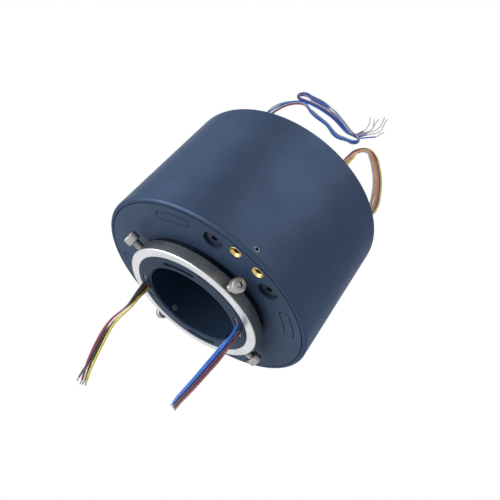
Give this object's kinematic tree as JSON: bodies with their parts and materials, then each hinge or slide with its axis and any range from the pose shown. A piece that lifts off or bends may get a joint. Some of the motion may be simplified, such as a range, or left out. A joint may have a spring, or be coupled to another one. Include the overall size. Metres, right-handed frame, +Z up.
{
  "type": "through-bore electrical slip ring",
  "caption": "Cylindrical slip ring with a through bore, a clamp collar with radial screws, and lead bundles at the front and rear faces.",
  "frame": {"origin": "on the bore axis, in the plane of the housing's front face", "axes": "-Y out of the front face along the bore, +Z up as the object lies"},
  "size_m": [0.1467, 0.3112, 0.119],
  "materials": {
    "anodised_shell": "satin black anodised, bluish",
    "anodised_cap": "matte black anodised",
    "anodised_sleeve": "black anodised, smooth bore",
    "machined_aluminium": "turned, light grey",
    "bearing_steel": "ground",
    "cage_brass": "pressed",
    "brass": "turned, bright",
    "bright_steel": "plain steel",
    "dark_steel": "blackened",
    "black_screw": "black oxide",
    "brush_metal": "drawn wire",
    "board": "laminate",
    "insulator": "moulded",
    "resin": "cured resin",
    "rubber": "soft",
    "blue_insulation": "wire insulation",
    "red_insulation": "wire insulation",
    "yellow_insulation": "wire insulation",
    "tinned_copper": "tinned strands",
    "tie_plastic": "nylon"
  },
  "bodies": {
    "rotor": {"sleeve": "anodised_sleeve", "clamp_collar": "machined_aluminium", "ring_barrel": "insulator", "contact_rings": "brass", "front_inner_race": "bearing_steel", "rear_inner_race": "bearing_steel", "front_retaining_ring": "dark_steel", "rear_retaining_ring": "dark_steel", "slot_potting": "resin", "slot_wires": "blue_insulation", "front_left_lead": "red_insulation", "front_left_tips": "tinned_copper", "front_right_lead": "blue_insulation", "front_right_tips": "tinned_copper"},
    "stator": {"shell": "anodised_shell", "front_cap": "anodised_cap", "rear_cap": "anodised_cap", "front_outlet_plugs": "anodised_cap", "rear_outlet_plugs": "anodised_cap", "lead_grommets": "rubber", "threaded_inserts": "brass", "front_cap_screws": "black_screw", "rear_cap_screws": "black_screw", "shell_set_screws": "dark_steel", "front_outer_race": "bearing_steel", "rear_outer_race": "bearing_steel", "brush_holder_a": "board", "brush_holder_b": "board", "brushes_a": "brush_metal", "brushes_b": "brush_metal", "inner_stator_leads": "blue_insulation", "rear_left_lead": "blue_insulation", "rear_left_hank": "blue_insulation", "rear_left_tail": "blue_insulation", "rear_left_tips_tinned": "tinned_copper", "rear_right_lead": "yellow_insulation", "rear_right_hank": "yellow_insulation", "rear_right_tips": "tinned_copper", "hank_tie": "tie_plastic"},
    "front_ball_set": {"front_balls": "bearing_steel", "front_cage": "cage_brass"},
    "rear_ball_set": {"rear_balls": "bearing_steel", "rear_cage": "cage_brass"},
    "clamp_screw_1_body": {"clamp_screw_1": "bright_steel"},
    "clamp_screw_2_body": {"clamp_screw_2": "bright_steel"},
    "clamp_screw_3_body": {"clamp_screw_3": "bright_steel"},
    "clamp_screw_4_body": {"clamp_screw_4": "bright_steel"}
  },
  "joints": [
    {"name": "housing_spin", "type": "hinge", "parent": "rotor", "child": "stator", "pos_m": [0, 0.03775, 0], "axis": [0, 1, 0], "continuous": true},
    {"name": "front_ball_orbit", "type": "hinge", "parent": "rotor", "child": "front_ball_set", "pos_m": [0, 0.008, 0], "axis": [0, 1, 0], "continuous": true},
    {"name": "rear_ball_orbit", "type": "hinge", "parent": "rotor", "child": "rear_ball_set", "pos_m": [0, 0.0675, 0], "axis": [0, 1, 0], "continuous": true},
    {"name": "clamp_screw_1_drive", "type": "slide", "parent": "rotor", "child": "clamp_screw_1_body", "axis": [-0.6018, 0, -0.7986], "range_m": [0, 0.004]},
    {"name": "clamp_screw_2_drive", "type": "slide", "parent": "rotor", "child": "clamp_screw_2_body", "axis": [0.7986, 0, -0.6018], "range_m": [0, 0.004]},
    {"name": "clamp_screw_3_drive", "type": "slide", "parent": "rotor", "child": "clamp_screw_3_body", "axis": [0.6018, 0, 0.7986], "range_m": [0, 0.004]},
    {"name": "clamp_screw_4_drive", "type": "slide", "parent": "rotor", "child": "clamp_screw_4_body", "axis": [-0.7986, 0, 0.6018], "range_m": [0, 0.004]}
  ],
  "couplings": [
    {"joint": "front_ball_orbit", "follows": "housing_spin", "ratio": 0.54},
    {"joint": "rear_ball_orbit", "follows": "housing_spin", "ratio": 0.54}
  ]
}
